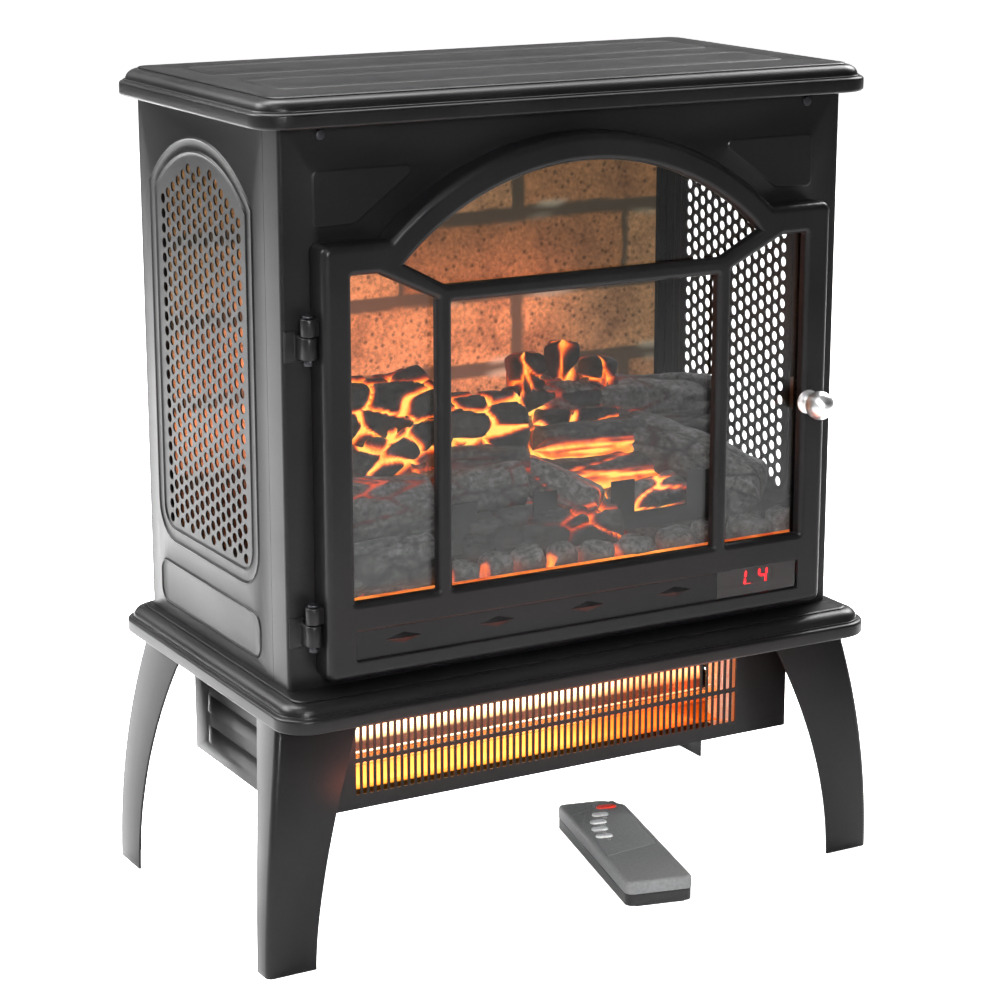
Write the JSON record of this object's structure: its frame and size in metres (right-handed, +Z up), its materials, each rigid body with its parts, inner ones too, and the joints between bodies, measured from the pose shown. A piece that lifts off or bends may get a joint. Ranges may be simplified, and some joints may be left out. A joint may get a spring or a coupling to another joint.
{
  "type": "electric fireplace",
  "caption": "Freestanding stove-style electric fireplace heater with an arched glazed door, glowing log bed, infrared heater box under the base, splayed legs and a handset.",
  "frame": {"origin": "on the floor between the four feet, at the middle of the overall box", "axes": "+Z up, +X to the right seen from the front, -Y out of the glazed door, +Y out of the back panel"},
  "size_m": [0.508, 0.31, 0.6],
  "materials": {
    "black_coat": "satin black powder coat with a fine orange-peel grain",
    "dark_fastener": "blackened steel fasteners",
    "bright_steel": "plain rolled steel",
    "quartz": "clear fused quartz, glowing when hot",
    "heating_wire": "resistance wire, orange-white when hot",
    "ceramic": "unglazed white steatite",
    "duct_plastic": "heat-resistant moulded plastic",
    "motor_can": "plated motor can",
    "blower_alloy": "thin aluminium blades",
    "brick_print": "printed brick backdrop, orange-brown bricks and grey-brown mortar",
    "ember_resin": "moulded translucent ember bed with an orange glow",
    "log_resin": "moulded charred logs, dark grey with glowing cracks",
    "grate_black": "matt dark grey",
    "circuit_green": "circuit board",
    "display_black": "display housing with red digits",
    "black_plastic": "moulded black nylon",
    "door_glass": "clear tempered glass",
    "smoked_window": "dark red-black smoked acrylic",
    "bright_knob": "bright polished knob",
    "spindle_foil": "gold-tinted reflector tabs",
    "rocker_red": "red rocker",
    "panel_key": "moulded grey keys",
    "handset_grey": "fine-textured charcoal ABS",
    "handset_black": "fine-textured black ABS",
    "key_red": "soft red key",
    "key_grey": "soft light-grey keys"
  },
  "bodies": {
    "stove": {"top_plate": "black_coat", "base_plate": "black_coat", "front_fascia": "black_coat", "left_side_panel": "black_coat", "right_side_panel": "black_coat", "back_panel": "black_coat", "leg_front_left": "black_coat", "leg_front_right": "black_coat", "leg_rear_left": "black_coat", "leg_rear_right": "black_coat", "heater_housing": "black_coat", "heater_grille": "black_coat", "fixed_hinge_leaves": "black_coat", "leg_screws": "dark_fastener", "case_screws": "dark_fastener", "hinge_pins": "dark_fastener", "heater_reflector": "bright_steel", "spindle_brackets": "bright_steel", "quartz_tubes": "quartz", "heating_coils": "heating_wire", "tube_end_caps": "ceramic", "blower_scroll": "duct_plastic", "blower_motor": "motor_can", "spindle_motor": "motor_can", "brick_backdrop": "brick_print", "ember_bed": "ember_resin", "log_set": "log_resin", "front_grate": "grate_black", "led_board": "circuit_green", "button_board": "circuit_green", "control_board": "circuit_green", "display_module": "display_black", "cord_gland": "black_plastic", "rocker_bezel": "black_plastic", "magnet_catch": "black_plastic"},
    "door": {"door_frame": "black_coat", "door_glass": "door_glass", "glass_clips": "bright_steel", "display_window": "smoked_window", "diamond_panel": "black_coat", "door_knuckles": "black_coat", "door_knob": "bright_knob", "knob_screw": "dark_fastener", "strike_plate": "bright_steel"},
    "flame_spindle": {"flame_spindle": "spindle_foil"},
    "blower_wheel": {"blower_wheel": "blower_alloy"},
    "power_rocker": {"power_rocker": "rocker_red"},
    "power_button": {"power_button": "panel_key"},
    "timer_button": {"timer_button": "panel_key"},
    "heat_button": {"heat_button": "panel_key"},
    "flame_button": {"flame_button": "panel_key"},
    "handset": {"handset_top": "handset_grey", "handset_base": "handset_black", "handset_board": "circuit_green"},
    "battery_cover": {"battery_cover": "handset_black"},
    "handset_power_key": {"handset_power_key": "key_red"},
    "handset_timer_key": {"handset_timer_key": "key_grey"},
    "handset_heat_key": {"handset_heat_key": "key_grey"},
    "handset_warm_key": {"handset_warm_key": "key_grey"},
    "handset_flame_key": {"handset_flame_key": "key_grey"}
  },
  "joints": [
    {"name": "door_swing", "type": "hinge", "parent": "stove", "child": "door", "pos_m": [-0.2092, -0.118, 0.33], "axis": [0, 0, -1], "range_deg": [0, 110]},
    {"name": "spindle_spin", "type": "hinge", "parent": "stove", "child": "flame_spindle", "pos_m": [0, 0.069, 0.227], "axis": [1, 0, 0], "continuous": true},
    {"name": "blower_spin", "type": "hinge", "parent": "stove", "child": "blower_wheel", "pos_m": [0, 0.036, 0.134], "axis": [1, 0, 0], "continuous": true},
    {"name": "rocker_tip", "type": "hinge", "parent": "stove", "child": "power_rocker", "pos_m": [-0.15, 0.127, 0.247], "axis": [-1, 0, 0], "range_deg": [0, 16]},
    {"name": "power_press", "type": "slide", "parent": "stove", "child": "power_button", "axis": [0, 1, 0], "range_m": [0, 0.0012], "stiffness_N_per_m": 400, "springref_m": -0.0004},
    {"name": "timer_press", "type": "slide", "parent": "stove", "child": "timer_button", "axis": [0, 1, 0], "range_m": [0, 0.0012], "stiffness_N_per_m": 400, "springref_m": -0.0004},
    {"name": "heat_press", "type": "slide", "parent": "stove", "child": "heat_button", "axis": [0, 1, 0], "range_m": [0, 0.0012], "stiffness_N_per_m": 400, "springref_m": -0.0004},
    {"name": "flame_press", "type": "slide", "parent": "stove", "child": "flame_button", "axis": [0, 1, 0], "range_m": [0, 0.0012], "stiffness_N_per_m": 400, "springref_m": -0.0004},
    {"name": "handset_pull", "type": "slide", "parent": "stove", "child": "handset", "axis": [0, -1, 0], "range_m": [0, 0.2]},
    {"name": "cover_slide", "type": "slide", "parent": "handset", "child": "battery_cover", "axis": [-0.225, -0.9744, 0], "range_m": [0, 0.03]},
    {"name": "power_key_press", "type": "slide", "parent": "handset", "child": "handset_power_key", "axis": [0, 0, -1], "range_m": [0, 0.0008], "stiffness_N_per_m": 400, "springref_m": -0.0003},
    {"name": "timer_key_press", "type": "slide", "parent": "handset", "child": "handset_timer_key", "axis": [0, 0, -1], "range_m": [0, 0.0008], "stiffness_N_per_m": 400, "springref_m": -0.0003},
    {"name": "heat_key_press", "type": "slide", "parent": "handset", "child": "handset_heat_key", "axis": [0, 0, -1], "range_m": [0, 0.0008], "stiffness_N_per_m": 400, "springref_m": -0.0003},
    {"name": "warm_key_press", "type": "slide", "parent": "handset", "child": "handset_warm_key", "axis": [0, 0, -1], "range_m": [0, 0.0008], "stiffness_N_per_m": 400, "springref_m": -0.0003},
    {"name": "flame_key_press", "type": "slide", "parent": "handset", "child": "handset_flame_key", "axis": [0, 0, -1], "range_m": [0, 0.0008], "stiffness_N_per_m": 400, "springref_m": -0.0003}
  ]
}
